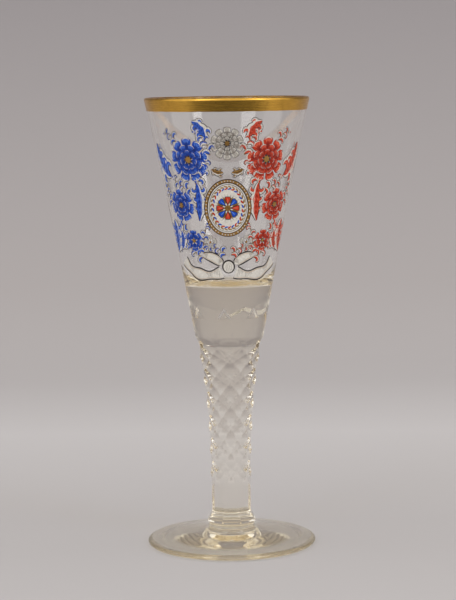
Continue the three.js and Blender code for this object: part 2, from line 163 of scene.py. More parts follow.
def angle(name, description, degrees):
    return number(name, description, math.radians(degrees), subtype="ANGLE")


def colour(name, description, default):
    return FloatVectorProperty(
        name=name, description=description, default=default, size=3, min=0, max=1, subtype="COLOR")


class GlassSettings(PropertyGroup):
    foot_radius: length("Foot radius", "Radius of the disc foot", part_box("foot")[1].x)
    foot_edge: length("Foot edge", "Thickness of the foot's rounded edge", 0.0028)
    crown_rise: length("Crown rise", "Rise of the foot from its edge to the fillet", 0.0036)
    fillet_reach: length("Fillet reach", "Width of the fillet under the button", 0.0042)
    neck_radius: length("Neck radius", "Radius of the foot under the button", 0.0126)
    land_width: length("Land width", "Width of the ground ring the foot rests on", 0.0055)
    under_rise: length("Under rise", "Height of the hollow under the foot", 0.0016)
    button_radius: length("Button radius", "Radius of the button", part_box("merese")[1].x)
    flare_across: length("Flare across", "Stem across its flats on the button", 0.0256)
    flare_height: length("Flare height", "Height of the stem's flare", 0.0063)
    plain_across: length("Plain across", "Plain length across its flats", 0.0205)
    plain_length: length("Plain length", "Length of the plain eight-sided part", 0.013)
    half_diamond: length("Half diamond", "Height of half a diamond facet", 0.0063)
    half_diamonds: IntProperty(
        name="Half diamonds", description="Half diamonds up the stem", default=12, min=2, max=24)
    run_out: length("Run-out", "Height over which the top diamonds fade out, under the joint", 0.0045)
    ridge_softness: number(
        "Ridge softness", "Polish of the ridges, as a share of the radius", 0.012, min=0, max=0.2)
    joint_radius: length("Joint radius", "Radius where the stem meets the bowl", 0.01835)
    joint_slope: number("Joint slope", "Growth of the radius at the joint", 0.183)
    lip_radius: length("Lip radius", "Radius of the bowl at the lip", 0.04385)
    lip_slope: number("Lip slope", "Growth of the radius at the lip", 0.226)
    wall: length("Wall", "Thickness of the bowl's wall", 0.0023)
    base_thickness: length("Base", "Solid glass under the drinking space", 0.0275)
    floor_corner: length("Floor corner", "Rounding inside, between wall and floor", 0.009)
    notch_base: length("Notch base", "Ledge of the notches over the joint", 0.0106)
    notch_width: length("Notch width", "Width of a notch at its ledge", 0.0074)
    notch_height: length("Notch height", "Height of a notch", 0.0062)
    notch_depth: length("Notch depth", "How steeply a notch's bevels fall, at its ledge", 0.0024)
    notch_floor: length("Notch floor", "Depth of a notch's flat floor", 0.0009)
    notch_grain: number("Notch grain", "Roughness of the bevels, which the wheel left matt", 0.35)
    notch_haze: number("Notch haze", "Roughness of the skin that the wheel broke on the bevels", 0.7)
    notch_whiteness: number(
        "Notch whiteness", "Coat IOR of that skin, which sets the light it throws back", 4.0)
    notch_turn: angle("Notch turn", "Azimuth of the front notch", -7.5)
    unevenness: length("Unevenness", "Drift of the blown inside from a true cone", 0.00005)
    tint: colour("Tint", "What the glass lets through", (0.93, 0.72, 0.20))
    tint_density: number("Tint density", "How strongly thick glass is tinted, per metre", 6.0)
    foot_tone: colour(
        "Foot tone", "What each passage through the foot's skin lets through", (0.925, 0.905, 0.845))
    shadow_tint: colour(
        "Shadow tint", "What each surface lets through of a lamp's light", (0.95, 0.94, 0.90))


class GildingSettings(PropertyGroup):
    band_height: length("Band height", "Gilding from the lip down the outside", 0.0068)
    thickness: length("Thickness", "Thickness of the fired gold", 0.00012)
    waver: length("Waver", "Unsteadiness of the band's painted edge", 0.00008)
    gold: colour("Gold", "Colour of the burnished gold", (0.58, 0.325, 0.055))


class EnamelSettings(PropertyGroup):
    blue: colour("Blue", "Blue enamel", (0.014, 0.065, 0.40))
    deep_blue: colour("Deep blue", "Blue laid on thickly in the shade", (0.006, 0.020, 0.15))
    pale_blue: colour("Pale blue", "Blue let down with white", (0.10, 0.22, 0.62))
    red: colour("Red", "Red enamel", (0.46, 0.036, 0.014))
    deep_red: colour("Deep red", "Red laid on thickly in the shade", (0.17, 0.010, 0.006))
    pale_red: colour("Pale red", "Red let down with white", (0.66, 0.16, 0.09))
    white: colour("White", "White enamel", (0.58, 0.55, 0.50))
    grey: colour("Grey", "Shading of the white", (0.22, 0.19, 0.165))
    gold: colour("Painted gold", "Gold laid on with a brush", (0.38, 0.21, 0.06))
    line: colour("Line", "Dark outline", (0.018, 0.013, 0.012))
    edge_width: number("Edge width", "Width of a dark edge, in millimetres", 0.24)
    bold_width: number(
        "Bold edge width", "Width of the top flower's and the ribbon's dark edge, in millimetres", 0.38)


class StudioSettings(PropertyGroup):
    camera_distance: length("Camera distance", "From the camera to the goblet's axis", 1.026)
    camera_height: length("Camera height", "Camera over the floor", 0.253)
    camera_pitch: angle("Camera pitch", "How far the camera looks down", 6.75)
    camera_roll: angle("Camera roll", "Lean of the camera", -0.7)
    camera_yaw: angle("Camera yaw", "Turn of the camera", 0.03)
    lens: number("Lens", "Focal length in millimetres", 115.9)
    # The backdrop colours below paint the studio's falloff of light into the sweep: painted light just over
    # the floor, and painted shade growing darker up to the top behind the rim.
    floor_colour: colour("Floor", "Floor round the foot", (0.515, 0.492, 0.488))
    lit_near_wall: colour("Low backdrop", "Backdrop just over the floor", (0.62, 0.597, 0.594))
    mid_wall: colour("Middle backdrop", "Backdrop behind the stem", (0.445, 0.415, 0.410))
    shaded_far_wall: colour("High backdrop", "Backdrop behind the rim", (0.29, 0.27, 0.279))
    room_light: number("Room light", "Even light from above", 1.05)
    dark_light: number("Dark side", "Light from the low side in front of the table", 0.12)
    panel_light: number("Panel light", "Watts of each softbox", 2.6)


# Skins

def at(radius, azimuth, level):
    return (radius * sin(azimuth), -radius * cos(azimuth), level)


def ring(level, radius, around=AROUND):
    """A closed ring of points. The radius is a number or a function of the azimuth."""
    azimuths = [tau * i / around for i in range(around)]
    if callable(radius):
        return [at(radius(azimuth), azimuth, level) for azimuth in azimuths]
    return [at(radius, azimuth, level) for azimuth in azimuths]


def bridge(low, count, high, next_count):
    """Faces from one closed ring to the next. A ring of one point is a pole."""
    if count == 1:
        return [(low, high + (i + 1) % next_count, high + i) for i in range(next_count)]
    if next_count == 1:
        return [(low + i, low + (i + 1) % count, high) for i in range(count)]
    if next_count == 2 * count:
        return [
            (low + i, low + (i + 1) % count, high + (2 * i + 2) % next_count, high + 2 * i + 1, high + 2 * i)
            for i in range(count)]
    if count == 2 * next_count:
        return [
            (low + 2 * i, low + 2 * i + 1, low + (2 * i + 2) % count, high + (i + 1) % next_count, high + i)
            for i in range(next_count)]
    return [
        (low + i, low + (i + 1) % count, high + (i + 1) % count, high + i) for i in range(count)]


def skin(rings, closed=False):
    """Points and faces of a surface over rings. A closed one joins its last ring to its first."""
    points, starts = [], []
    for points_of_ring in rings:
        starts.append(len(points))
        points += points_of_ring
    spans = [(start, len(points_of_ring)) for start, points_of_ring in zip(starts, rings)]
    if closed:
        spans.append(spans[0])
    faces = []
    for (low, count), (high, next_count) in pairwise(spans):
        faces += bridge(low, count, high, next_count)
    if not closed and len(rings[0]) > 1:
        faces.append(tuple(reversed(range(len(rings[0])))))
        faces.append(tuple(range(starts[-1], starts[-1] + len(rings[-1]))))
    return points, faces


def finished_piece(name, points, faces, materials, replaced, paints=None, crease=30):
    """A smooth-shaded piece on the goblet's one body, which stands for CAD nodes."""
    mesh = bpy.data.meshes.new(name)
    mesh.from_pydata(points, [], faces)
    for material in materials:
        mesh.materials.append(material)
    if paints:
        mesh.polygons.foreach_set("material_index", paints)
    mesh.polygons.foreach_set("use_smooth", [True] * len(mesh.polygons))
    mesh.set_sharp_from_angle(angle=math.radians(crease))
    if mesh.validate():
        raise RuntimeError(f"{name} has a face that Blender had to mend")
    piece = bpy.data.objects.new(name, mesh)
    bpy.context.scene.collection.objects.link(piece)
    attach(piece, "root")
    if replaced:
        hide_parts(*replaced)
    return piece


def curve_point(controls, share):
    """Where the curve over its controls lies, at a share from the first to the last."""
    while len(controls) > 1:
        controls = [
            tuple(a + (b - a) * share for a, b in zip(first, second)) for first, second in pairwise(controls)]
    return controls[0]


def curve_points(controls, steps):
    """Points of a curve after its start."""
    return [curve_point(controls, i / steps) for i in range(1, steps + 1)]


def arc_points(middle, half_width, half_height, start, end, steps):
    """Points of an ellipse after its start. Angles are counted from outwards to upwards."""
    points = []
    for i in range(1, steps + 1):
        turn = start + (end - start) * i / steps
        points.append((middle[0] + half_width * cos(turn), middle[1] + half_height * sin(turn)))
    return points


# Glass

class BowlOutline:
    """The bowl's outside: one curve between the slope at the joint and the slope at the lip."""

    def __init__(self, glass):
        self.start = glass.joint_radius
        self.end = glass.lip_radius
        self.height = LIP_LEVEL - JOINT_LEVEL
        growth = self.end - self.start - glass.lip_slope * self.height
        self.meeting = growth / (glass.joint_slope - glass.lip_slope)
        self.control = self.start + glass.joint_slope * self.meeting

    def share(self, level):
        bend = self.height - 2 * self.meeting
        over = level - JOINT_LEVEL
        return (math.sqrt(self.meeting ** 2 + bend * over) - self.meeting) / bend

    def point(self, share):
        radius, over = curve_point(
            [(self.start, 0), (self.control, self.meeting), (self.end, self.height)], share)
        return radius, JOINT_LEVEL + over

    def radius(self, level):
        return self.point(self.share(level))[0]

    def tilt(self, share):
        """Angle of the wall from upright."""
        step = 1e-4
        (r0, z0), (r1, z1) = self.point(share), self.point(share + step)
        return math.atan2(r1 - r0, z1 - z0)

    def inside(self, share, wall):
        radius, level = self.point(share)
        tilt = self.tilt(share)
        return radius - wall * cos(tilt), level + wall * sin(tilt)


def softly_least(values, softness):
    """The least value, with the crease between two of them polished round."""
    least = values[0]
    for value in values[1:]:
        near = max(softness - abs(least - value), 0) / softness
        least = min(least, value) - near * near * softness / 4
    return least


def facet_planes(azimuth, first, share):
    """Distances to the two nearest facets of one set, the first of which stands at an azimuth."""
    turn = (azimuth - first) / FACET_TURN
    nearest = math.floor(turn)
    return [share / cos((turn - column) * FACET_TURN) for column in (nearest, nearest + 1)]


def octagon(azimuth, inradius, softness):
    return inradius * softly_least(facet_planes(azimuth, 0, 1), softness)


def diamond_share(azimuth, half_diamonds_up, last, softness):
    """Share of the ridges' radius at which the cut surface lies. Past the last half diamond only
    the set over the flats goes on, up to the ledge."""
    from_middle = abs(half_diamonds_up - 2 * round(half_diamonds_up / 2))
    planes = facet_planes(azimuth, 0, FLAT_SHARE + (1 - FLAT_SHARE) * from_middle ** 2)
    if half_diamonds_up <= last:
        hollow = FLAT_SHARE + (1 - FLAT_SHARE) * (1 - from_middle) ** 2
        planes += facet_planes(azimuth, FACET_TURN / 2, hollow)
    else:
        planes.append(1)
    return softly_least(planes, softness)


def foot_rings(glass):
    outer = glass.foot_radius - glass.foot_edge
    inner = outer - glass.land_width
    half_edge = glass.foot_edge / 2
    crown = glass.neck_radius + glass.fillet_reach
    crown_top = glass.foot_edge + glass.crown_rise
    hollow = (inner - glass.under_rise, glass.under_rise)
    profile = curve_points([(0, glass.under_rise), hollow, (inner, 0)], 14) + [(outer, 0)]
    profile += arc_points((outer, half_edge), glass.foot_edge, half_edge, -pi / 2, pi / 2, 12)
    fullness = 0.42
    middle = ((outer + crown) / 2, glass.foot_edge + fullness * glass.crown_rise)
    profile += curve_points([(outer, glass.foot_edge), middle, (crown, crown_top)], 20)
    neck = glass.neck_radius
    profile += curve_points([(crown, crown_top), (neck, crown_top), (neck, FOOT_TOP)], 8)
    return [[(0, 0, glass.under_rise)]] + [ring(level, radius) for radius, level in profile]


def button_rings(glass):
    """The button stands between two shallow grooves."""
    groove = 0.0009
    height = BUTTON_TOP - FOOT_TOP
    middle = (glass.button_radius - groove, FOOT_TOP + height / 2)
    start, end = -pi / 2, pi / 2
    profile = arc_points(middle, groove, height / 2, start, end, 12)
    return [ring(FOOT_TOP, middle[0])] + [ring(level, radius) for radius, level in profile]


class StemOutline:
    """The stem before its diamonds are cut: it rises upright from the plain length, and widens until
    it has the bowl's slope."""

    def __init__(self, glass):
        upright, pull, allowance = 0.03, 0.03, 0.00025
        self.base = BUTTON_TOP + glass.flare_height + glass.plain_length
        corner = glass.plain_across / 2 / FLAT_SHARE + allowance
        self.allowance = allowance
        self.controls = [
            (corner, self.base), (corner, self.base + upright),
            (glass.joint_radius - glass.joint_slope * pull, JOINT_LEVEL - pull),
            (glass.joint_radius, JOINT_LEVEL)]

    def radius(self, level):
        """Radius at a level, found by halving the share of the curve that it lies in."""
        low, high = 0.0, 1.0
        for _ in range(40):
            middle = (low + high) / 2
            if curve_point(self.controls, middle)[1] < level:
                low = middle
            else:
                high = middle
        return curve_point(self.controls, low)[0]


def stem_rings(glass):
    softness = glass.ridge_softness
    outline = StemOutline(glass)
    rings = []
    flare_steps, flare_curve = 12, 1.6
    for step in range(flare_steps + 1):
        share = step / flare_steps
        fall = (1 - share) ** flare_curve
        across = glass.plain_across + (glass.flare_across - glass.plain_across) * fall
        level = BUTTON_TOP + glass.flare_height * share
        rings.append(ring(level, lambda azimuth: octagon(azimuth, across / 2, softness)))
    plain_steps = 6
    for step in range(1, plain_steps):
        level = BUTTON_TOP + glass.flare_height + glass.plain_length * step / plain_steps
        rings.append(ring(level, lambda azimuth: octagon(azimuth, glass.plain_across / 2, softness)))
    last = glass.half_diamonds
    row_height = glass.half_diamond / PER_HALF_FACET
    rows = round((JOINT_LEVEL - outline.base) / row_height)
    for row in range(rows):
        level = outline.base + row * row_height
        ridge = outline.radius(level) - outline.allowance
        up = row / PER_HALF_FACET
        left = min((JOINT_LEVEL - level) / glass.run_out, 1)
        depth = left * left * (3 - 2 * left)
        uncut = outline.radius(level) * (1 - depth)
        rings.append(ring(
            level, lambda azimuth: uncut + depth * ridge * diamond_share(azimuth, up, last, softness)))
    return rings


class Notch:
    """A three-sided pit with bevelled sides, a flat floor and a level ledge under it."""

    def __init__(self, glass, outline):
        base = JOINT_LEVEL + glass.notch_base
        top = base + glass.notch_height
        half = glass.notch_width / 2
        base_radius = outline.radius(base)
        self.root = Vector((0, glass.notch_depth - base_radius, base))
        tip = Vector((0, -outline.radius(top), top))
        side = math.sqrt(base_radius ** 2 - half ** 2)
        self.normals = [
            (tip - self.root).cross(Vector((sign * half, -side, base)) - self.root) for sign in (-1, 1)]
        self.turn = glass.notch_turn
        self.floor = glass.notch_floor

    def radius(self, azimuth, level, uncut):
        """Radius of the glass where the pits have been cut."""
        turn = (azimuth - self.turn) / FACET_TURN
        own = (turn - round(turn)) * FACET_TURN
        direction = Vector((sin(own), -cos(own), 0))
        distances = []
        for normal in self.normals:
            towards = normal.dot(direction)
            if abs(towards) < 1e-9:
                return uncut
            distances.append(normal.dot(self.root - Vector((0, 0, level))) / towards)
        if min(distances) <= 0:
            return uncut
        return min(uncut, max(*distances, uncut - self.floor))


def bowl_outside_rings(glass, outline):
    notch = Notch(glass, outline)
    base = JOINT_LEVEL + glass.notch_base
    top = base + glass.notch_height
    fine = 2 * AROUND
    rings = []
    below = 0.0002
    low_steps = 7
    for step in range(low_steps):
        level = JOINT_LEVEL + (glass.notch_base - 2 * below) * step / low_steps
        rings.append(ring(level, outline.radius(level)))
    rings.append(ring(base - below, outline.radius(base - below), fine))
    notch_steps = 32
    for step in range(notch_steps + 1):
        level = base + glass.notch_height * step / notch_steps
        uncut = outline.radius(level)
        if step == 0:
            rings.append(ring(level, uncut, fine))
        rings.append(ring(level, lambda azimuth: notch.radius(azimuth, level, uncut), fine))
    start = outline.share(top)
    end = outline.share(LIP_LEVEL - glass.wall / 2)
    wall_steps = 56
    for step in range(1, wall_steps):
        radius, level = outline.point(start + (end - start) * step / wall_steps)
        rings.append(ring(level, radius))
    return rings


def ground_share(glass, outline, point):
    """1 on the bevel of a notch, and 0 on the polished glass."""
    base = JOINT_LEVEL + glass.notch_base
    if not base < point[2] < base + glass.notch_height:
        return 0.0
    depth = outline.radius(point[2]) - math.hypot(point[0], point[1])
    margin = 0.00005
    return 1.0 if margin < depth < glass.notch_floor - margin else 0.0


def lip_profile(glass, outline):
    """Half an ellipse over the top of the wall, from outside to inside."""
    share = outline.share(LIP_LEVEL - glass.wall / 2)
    (out_radius, out_level), (in_radius, in_level) = outline.point(share), outline.inside(share, glass.wall)
    middle = ((out_radius + in_radius) / 2, (out_level + in_level) / 2)
    start = -pi / 10
    return arc_points(middle, glass.wall / 2, LIP_LEVEL - middle[1], start, pi, 11)


def cavity_profile(glass, outline):
    """Down the inside of the wall, round the corner and along the floor."""
    floor = JOINT_LEVEL + glass.base_thickness
    corner = glass.floor_corner
    share = outline.share(floor + corner)
    tilt = outline.tilt(share)
    middle = (outline.point(share)[0] - (glass.wall + corner) / cos(tilt), floor + corner)
    profile = []
    wall_steps = 48
    for step in range(1, wall_steps):
        profile.append(outline.inside(1 - (1 - share) * step / wall_steps, glass.wall))
    profile += arc_points(middle, corner, corner, -tilt, -pi / 2, 12)
    floor_steps = 6
    for step in range(1, floor_steps):
        profile.append((middle[0] * (1 - step / floor_steps), floor))
    return profile


def uneven_ring(level, radius, amount):
    """A ring of the blown inside, which drifts a little from a true circle."""
    swells, swell_height = 3, 0.02

    def drift(azimuth):
        place = (swells * sin(azimuth), swells * cos(azimuth), level / swell_height)
        return radius + amount * noise.noise(Vector(place))

    return ring(level, drift)


def bowl_rings(glass):
    outline = BowlOutline(glass)
    rings = bowl_outside_rings(glass, outline)
    rings += [ring(level, radius) for radius, level in lip_profile(glass, outline)]
    rings += [
        uneven_ring(level, radius, glass.unevenness) for radius, level in cavity_profile(glass, outline)]
    return rings + [[(0, 0, JOINT_LEVEL + glass.base_thickness)]]


# Gilding

def gilding_rings(glass, gilding):
    """A thin closed shell over the lip, with an edge that wavers like a painted one."""
    outline = BowlOutline(glass)
    low = LIP_LEVEL - gilding.band_height
    lip = lip_profile(glass, outline)
    top_middle = (lip[-1][0] + glass.wall / 2, LIP_LEVEL - glass.wall / 2)
    sunk, steps, fold = 0.00002, 10, math.radians(107)
    waves, wavering_height = 9, 0.001

    def shell(lift):
        share_low, share_high = outline.share(low), outline.share(LIP_LEVEL - glass.wall / 2)
        points = []
        for step in range(steps + 1):
            radius, level = outline.point(share_low + (share_high - share_low) * step / steps)
            points.append((radius + lift, level))
        half = glass.wall / 2 + lift
        return points + arc_points(top_middle, half, half, 0, fold, steps)

    rings = []
    for radius, level in shell(gilding.thickness) + shell(-sunk)[::-1]:
        waver = gilding.waver * max(0.0, 1 - (level - low) / wavering_height)
        points = []
        for i in range(AROUND):
            azimuth = tau * i / AROUND
            place = Vector((waves * sin(azimuth), waves * cos(azimuth), 0))
            points.append(at(radius, azimuth, level + waver * noise.noise(place)))
        rings.append(points)
    return rings


# Painting on the bowl

class Painting:
    """Closed patches and strokes of several paints, gathered into one piece on the bowl. Points
    are (along, up) in millimetres from the motif's middle. On the left side, -1, along is mirrored."""

    def __init__(self, glass, motif, side):
        self.outline = BowlOutline(glass)
        self.side = side
        self.level = LIP_LEVEL - motif["down"] * MM
        self.turn = side * motif.get("along", 0) * MM / self.outline.radius(self.level)
        self.points, self.faces, self.paints, self.used = [], [], [], []

    def on_bowl(self, along, up, lift):
        level = self.level + up * MM
        radius = self.outline.radius(level)
        return at(radius + lift * MM, self.turn + self.side * along * MM / radius, level)

    def add(self, rings, paint, closed=False):
        if paint not in self.used:
            self.used.append(paint)
        points, faces = skin([[self.on_bowl(*point) for point in one] for one in rings], closed)
        start = len(self.points)
        self.points += points
        for face in faces:
            # A mirrored face runs the other way round.
            self.faces.append(tuple(start + corner for corner in face[::self.side]))
            self.paints.append(self.used.index(paint))

    def patch(self, outline, rise, paint, low=SUNK):
        """A domed patch inside a closed outline that runs anticlockwise round its middle."""
        middle = [sum(point[axis] for point in outline) / len(outline) for axis in (0, 1)]
        rings = [[(*middle, low)]]
        for size, height in ((1, 0), (1, 0.4), (0.93, 0.85), (0.6, 1), (0.3, 1)):
            rings.append([
                (middle[0] + (along - middle[0]) * size, middle[1] + (up - middle[1]) * size,
                 low + (rise - low) * height)
                for along, up in outline])
        self.add(rings + [[(*middle, rise)]], paint)

    def stroke(self, path, halves, rise, paint, closed=False, low=SUNK):
        """A rounded stroke along a path, with a half width at each point."""
        section = [(1, 0), (1, 0.4), (0.7, 0.85), (0, 1), (-0.7, 0.85), (-1, 0.4), (-1, 0)]
        if max(halves) > WIDE_STROKE:
            section += [(-0.5, 0), (0, 0), (0.5, 0)]
        rings = []
        for (along, up), (left_along, left_up), half in zip(path, left_of(path, closed), halves):
            rings.append([
                (along + half * across * left_along, up + half * across * left_up,
                 low + (rise - low) * share)
                for across, share in section])
        self.add(rings, paint, closed)

    def edged_patch(self, outline, rise, paint, edge, lining=0):
        """A patch inside a dark edge, and between them a white lining where one is asked for."""
        self.patch(grown(outline, lining + edge), rise - EDGE_STEP, "line", LINE_FOOT)
        if lining:
            self.patch(grown(outline, lining), rise - EDGE_STEP / 2, "white", LINING_FOOT)
        self.patch(outline, rise, paint)

    def edged_stroke(self, path, halves, rise, paint, edge, low=SUNK):
        """A stroke between two dark edges."""
        self.stroke(path, [half + edge for half in halves], rise - EDGE_STEP, "line", low=LINE_FOOT)
        self.stroke(path, halves, rise, paint, low=low)

    def line(self, path, half, rise=LINE, paint="line", closed=False):
        """A drawn line. An open one tapers to both ends, and a closed one swells and thins."""
        count = len(path)
        thin = 0.25
        if closed:
            shares = [1 + thin * sin(tau * i / count) for i in range(count)]
        else:
            swells = [sin(pi * i / (count - 1)) ** 0.6 for i in range(count)]
            shares = [thin + (1 - thin) * swell for swell in swells]
        self.stroke(path, [half * share for share in shares], rise, paint, closed, LINE_FOOT)


def left_of(path, closed=False):
    """Unit directions to the left of a path at each of its points."""
    found = []
    last = len(path) - 1
    for i in range(len(path)):
        before = path[i - 1] if i > 0 or closed else path[0]
        after = path[(i + 1) % len(path)] if i < last or closed else path[last]
        along, up = after[0] - before[0], after[1] - before[1]
        size = math.hypot(along, up) or 1
        found.append((-up / size, along / size))
    return found


def beside(path, offsets, closed=False):
    """A path moved to its left by an offset at each point."""
    return [
        (along + left[0] * offset, up + left[1] * offset)
        for (along, up), left, offset in zip(path, left_of(path, closed), offsets)]


def brush_path(start, heading, length_mm, bend, steps, curl=0):
    """A curve from a start. Its heading, in degrees, turns by a bend, and by a curl towards its end."""
    along, up = start
    path = [(along, up)]
    for i in range(steps):
        share = i / steps
        direction = math.radians(heading + bend * share + curl * share ** 2)
        along += length_mm / steps * cos(direction)
        up += length_mm / steps * sin(direction)
        path.append((along, up))
    return path


def polar(radius, direction, middle=(0, 0)):
    return (middle[0] + radius * cos(direction), middle[1] + radius * sin(direction))


def oval(half_width, half_height, count=64):
    return [
        (half_width * cos(tau * i / count), half_height * sin(tau * i / count))
        for i in range(count)]


def disc(radius, count, middle=(0, 0)):
    return [polar(radius, tau * i / count, middle) for i in range(count)]


def ray(start, end, direction, steps):
    """A straight path away from the motif's middle, from one distance to another."""
    return [polar(start + (end - start) * i / steps, direction) for i in range(steps + 1)]


def swelling(widest, start, end, steps):
    """Half widths of a stroke that swells and thins, over a part of half a wave."""
    return [widest * sin(pi * (start + (end - start) * i / steps)) for i in range(steps + 1)]


def petal_outline(inner, outer, direction, spread):
    """A petal with a soft dent in its end, from an inner to an outer radius."""
    count, dent_depth, dent_width = 26, 0.10, 0.45
    points = []
    for i in range(count):
        turn = tau * i / count
        reach = (1 - cos(turn)) / 2
        width = sin(turn) * (0.35 + 0.65 * reach) * 1.12
        dent = dent_depth * math.exp(-((turn - pi) / dent_width) ** 2)
        radius = inner + (outer - inner) * (reach - dent)
        points.append(polar(radius, direction + spread * width))
    return points


def grown(outline, margin):
    """A closed outline moved outwards by a margin."""
    return beside(outline, [-margin] * len(outline), closed=True)


def paint_petal(painting, base, tip, direction, spread, lift, paint, edge, lining):
    """An outlined petal: deep strokes at its base, pale ones over its middle, a white line at its end.
    A white lining shows round it as wide as is asked."""
    fill, deep, light = TONES[paint]
    drawn, rim_tone = ("line", light) if fill == "white" else (deep, "white")
    outline = petal_outline(base, tip, direction, spread)
    painting.edged_patch(outline, FILL + lift, fill, edge, lining)
    painting.line(outline, edge * 0.3, LINE + lift, drawn, closed=True)
    long, steps = tip - base, 5
    for turn in (-0.45, -0.15, 0.15, 0.45):
        for start, end, half, tone in ((0.30, 0.74, 0.032, deep), (0.70, 0.90, 0.024, light)):
            stroke = [
                polar(base + long * (start + (end - start) * i / steps - 0.12 * abs(turn)),
                      direction + spread * turn * (0.6 + 0.4 * i / steps))
                for i in range(steps + 1)]
            painting.line(stroke, half * long, LIGHT + lift, tone)
    rim = [
        polar(base + long * (0.92 - 0.1 * (i / 4) ** 2), direction + spread * 0.56 * i / 4)
        for i in range(-4, 5)]
    painting.line(rim, 0.028 * long, LIGHT + lift + 0.01, rim_tone)


def paint_flower(painting, motif, paint, edge):
    """Rows of overlapping petals over one another, round a dotted gold heart."""
    radius, petals = motif["radius"], motif["petals"]
    two_rows_from, three_rows_from = 5, 8
    row_rise, overlap_rise = 0.07, 0.03
    # Inner and outer share of the radius, count, fullness and lining of each row of petals
    rows = [(0.25, 1.0, petals, 1.02, 0 if paint == "white" else 0.3)]
    if radius > two_rows_from:
        rows.append((0.16, 0.70, petals - 1, 1.2, 0))
    if radius > three_rows_from:
        rows.append((0.10, 0.44, petals - 2, 1.2, 0))
    for row, (inner, outer, count, fullness, lining) in enumerate(rows):
        spread = pi / count * fullness
        for i in range(count):
            direction = pi / 2 + tau * (i + 0.5 * row) / count
            lift = row_rise * row + overlap_rise * (i % 2)
            paint_petal(
                painting, inner * radius, outer * radius, direction, spread, lift, paint, edge, lining)
    heart_radius = 0.15 * radius
    top = FILL + row_rise * len(rows) + 0.05
    painting.patch(disc(heart_radius, 20), top, "gold")
    dots = 7 if radius > two_rows_from else 5
    for i in range(dots):
        middle = polar(heart_radius * 1.1, tau * i / dots)
        painting.patch(disc(0.05 * radius, 8, middle), top + 0.03, "line")


def leaf_width(share):
    """Width of a pointed leaf with soft lobes, as a share of its widest."""
    tip, lobes, depth = 0.1, 3, 0.16
    belly = sin(pi * share) ** 0.8
    return tip + (1 - tip) * belly * (1 + depth * sin(tau * lobes * share))


def paint_curl(painting, start, heading, size, turn, fill, lining, edge, lift=0.0):
    """A lobe that rolls over to one side. Along its outer edge shows its hatched reverse."""
    steps, bend, roll, hatch_turn = 14, turn * 20, turn * 190, turn * 62
    path = brush_path(start, heading, size, bend, steps, roll)
    halves = swelling(size * 0.15, 0.16, 0.94, steps)
    reverse = beside(path, [-turn * half * 1.15 for half in halves])
    reverse_halves = [half * 0.95 for half in halves]
    painting.edged_stroke(reverse, reverse_halves, FILL + lift, lining, edge, LINING_FOOT)
    painting.edged_stroke(path, halves, FILL + lift + 0.04, fill, edge)
    hatch = "line" if lining == "white" else "white"
    feet = beside(path, [-turn * half * 1.1 for half in halves])
    for i in range(2, steps - 2, 2):
        direction = heading + bend * i / steps + roll * (i / steps) ** 2
        hatch_path = brush_path(feet[i], direction - hatch_turn, halves[i] * 0.8, 0, 3)
        painting.line(hatch_path, edge * 0.45, LIGHT + lift, hatch)
    highlight = beside(path, [turn * half * 0.35 for half in halves])[2:-1]
    light = "grey" if fill in ("white", "gold") else "pale_" + fill
    painting.line(highlight, halves[steps // 2] * 0.16, LIGHT + lift, light)


def paint_leaf(painting, motif, paint, edge):
    """A lobed leaf with a white reverse on one side, a midrib, veins and curled offshoots."""
    fill, deep, light = TONES[paint]
    heading, bend, width = motif["heading"], motif["bend"], motif["width"]
    steps, offshoot_turn, vein_turn = 28, 40, 38
    path = brush_path((0, 0), heading, motif["length"], bend, steps)
    halves = [width / 2 * leaf_width(i / steps) for i in range(steps + 1)]
    offshoots = 3 if motif["length"] > 12 else 2
    for i in range(offshoots):
        share = 0.16 + 0.5 * i / (offshoots - 1)
        size = width * (1.35 - 0.2 * i)
        for turn in (-1, 1):
            direction = heading + bend * share + turn * offshoot_turn
            paint_curl(painting, path[round(share * steps)], direction, size, turn, fill, "white", edge)
    turn_over = 1 if bend > 0 else -1
    reverse = beside(path, [-turn_over * half * 0.5 for half in halves])
    painting.edged_stroke(reverse, halves, FILL + 0.07, "white", edge, LINING_FOOT)
    painting.edged_stroke(path, halves, FILL + 0.10, fill, edge)
    painting.line(path, width * 0.035, LINE + 0.08, deep)
    for i in range(3, steps - 4, 2):
        for turn in (-1, 1):
            direction = heading + bend * i / steps + turn * vein_turn
            vein = brush_path(path[i], direction, halves[i] * 0.95, -turn * 20, 5)
            painting.line(vein, width * 0.025, LIGHT + 0.06, light if i % 4 == 3 else deep)


def paint_spray(painting, spray, fill, edge):
    """A thin gold stem with curled lobes to its left and right, and a bud at its end."""
    steps = 20
    start = (spray["along"], -spray["down"])
    heading, bend = spray["heading"], spray["bend"]
    path = brush_path(start, heading, spray["length"], bend, steps)
    stem_halves = [0.22 - 0.10 * i / steps for i in range(steps + 1)]
    painting.edged_stroke(path, stem_halves, FILL, "gold", edge / 2)
    lobe_spacing, lobe_turn = 2.4, 44
    lobes = round(spray["length"] / lobe_spacing)
    for i in range(lobes):
        share = (i + 0.3) / lobes
        turn = 1 if i % 2 else -1
        size = spray["lobe"] * (1 - 0.4 * share)
        direction = heading + bend * share + turn * lobe_turn
        paint, lining = (fill, "white") if i % 3 != 2 else ("white", fill)
        paint_curl(
            painting, path[round(share * steps)], direction, size, turn, paint, lining, edge, 0.01 * i)
    bud_halves = [0.30, 0.43, 0.48, 0.43, 0.28, 0.1]
    for reach, direction, paint in ((1.5, 0, fill), (1.3, 50, "white"), (1.3, -50, "white")):
        bud = brush_path(path[-1], heading + bend + direction, reach, 0, len(bud_halves) - 1)
        painting.edged_stroke(bud, bud_halves, FILL + 0.08, paint, edge / 2)


def paint_sprays(painting, sprays, fill, edge):
    """All the sprays of one side, measured from the middle of the lip."""
    for spray in sprays["stems"]:
        paint_spray(painting, spray, fill, edge)


